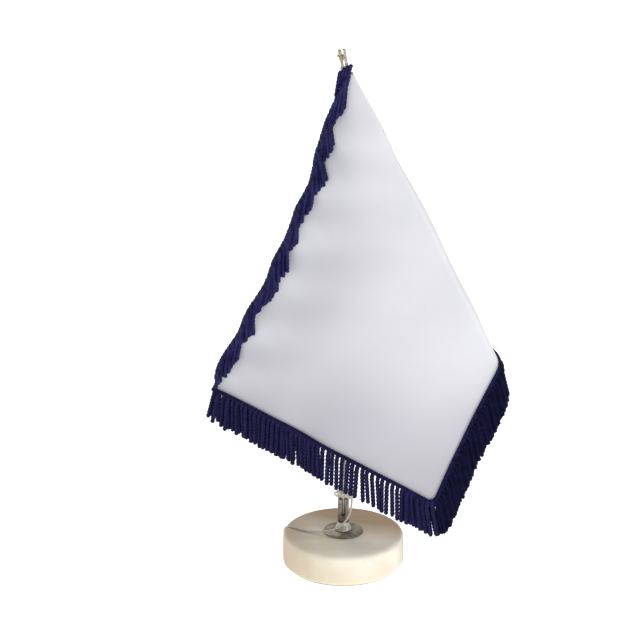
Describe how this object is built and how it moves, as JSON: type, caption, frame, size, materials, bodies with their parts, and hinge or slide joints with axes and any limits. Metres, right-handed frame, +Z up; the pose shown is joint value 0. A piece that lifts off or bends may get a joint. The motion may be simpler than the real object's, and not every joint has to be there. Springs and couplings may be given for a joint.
{
  "type": "desk flag stand",
  "caption": "Small draped desk flag with a bullion fringe on a thin slotted tube pole, in a swivelling socket on a round wooden foot.",
  "frame": {"origin": "centre of the felt pad's underside, on the pole's axis, at the surface that the stand rests on", "axes": "+Z up along the pole, -Y the side that the flag's front panel faces, +X to the right of someone looking at that front"},
  "size_m": [0.1851, 0.1009, 0.3478],
  "materials": {
    "foot_wood": "pale sanded hardwood, clear matt lacquer",
    "felt": "dense dark grey felt",
    "zinc_steel": "zinc plated",
    "cast_plate": "dull grey cast metal",
    "plated_tube": "worn bright plating",
    "brass": "dull crimped brass",
    "plug_plastic": "black moulded plug",
    "white_satin": "white polyester satin, soft sheen",
    "navy_rayon": "navy twisted rayon bullion",
    "cream_cord": "cream braided cotton cord"
  },
  "bodies": {
    "foot": {"base_disc": "foot_wood", "felt_pad": "felt", "base_washer": "zinc_steel", "base_screw": "zinc_steel", "flange_plate": "cast_plate"},
    "socket": {"socket_foot": "plated_tube", "socket_tube": "plated_tube"},
    "pole": {"pole_tube": "plated_tube", "pole_foot_cap": "plug_plastic", "tip_crimp": "brass", "halyard_tip": "cream_cord", "halyard_lower": "cream_cord", "tie_knot": "cream_cord", "tie_loop_left": "cream_cord", "tie_loop_right": "cream_cord", "halyard_tail": "cream_cord", "tail_knot": "cream_cord"},
    "flag": {"flag_front": "white_satin", "flag_return": "white_satin", "hoist_sleeve": "white_satin", "halyard_run": "cream_cord", "top_heading": "navy_rayon", "fly_heading": "navy_rayon", "bottom_heading": "navy_rayon", "top_fringe": "navy_rayon", "fly_fringe": "navy_rayon", "bottom_fringe": "navy_rayon", "return_fringe": "navy_rayon"}
  },
  "joints": [
    {"name": "socket_swivel", "type": "hinge", "parent": "foot", "child": "socket", "pos_m": [0, 0, 0.0243], "axis": [0, 0, 1], "range_deg": [-180, 180]},
    {"name": "pole_lift", "type": "slide", "parent": "socket", "child": "pole", "axis": [0, 0, 1], "range_m": [0, 0.018]},
    {"name": "flag_swing", "type": "hinge", "parent": "pole", "child": "flag", "pos_m": [0, 0, 0.255], "axis": [0, 0, 1], "range_deg": [-60, 60]}
  ]
}
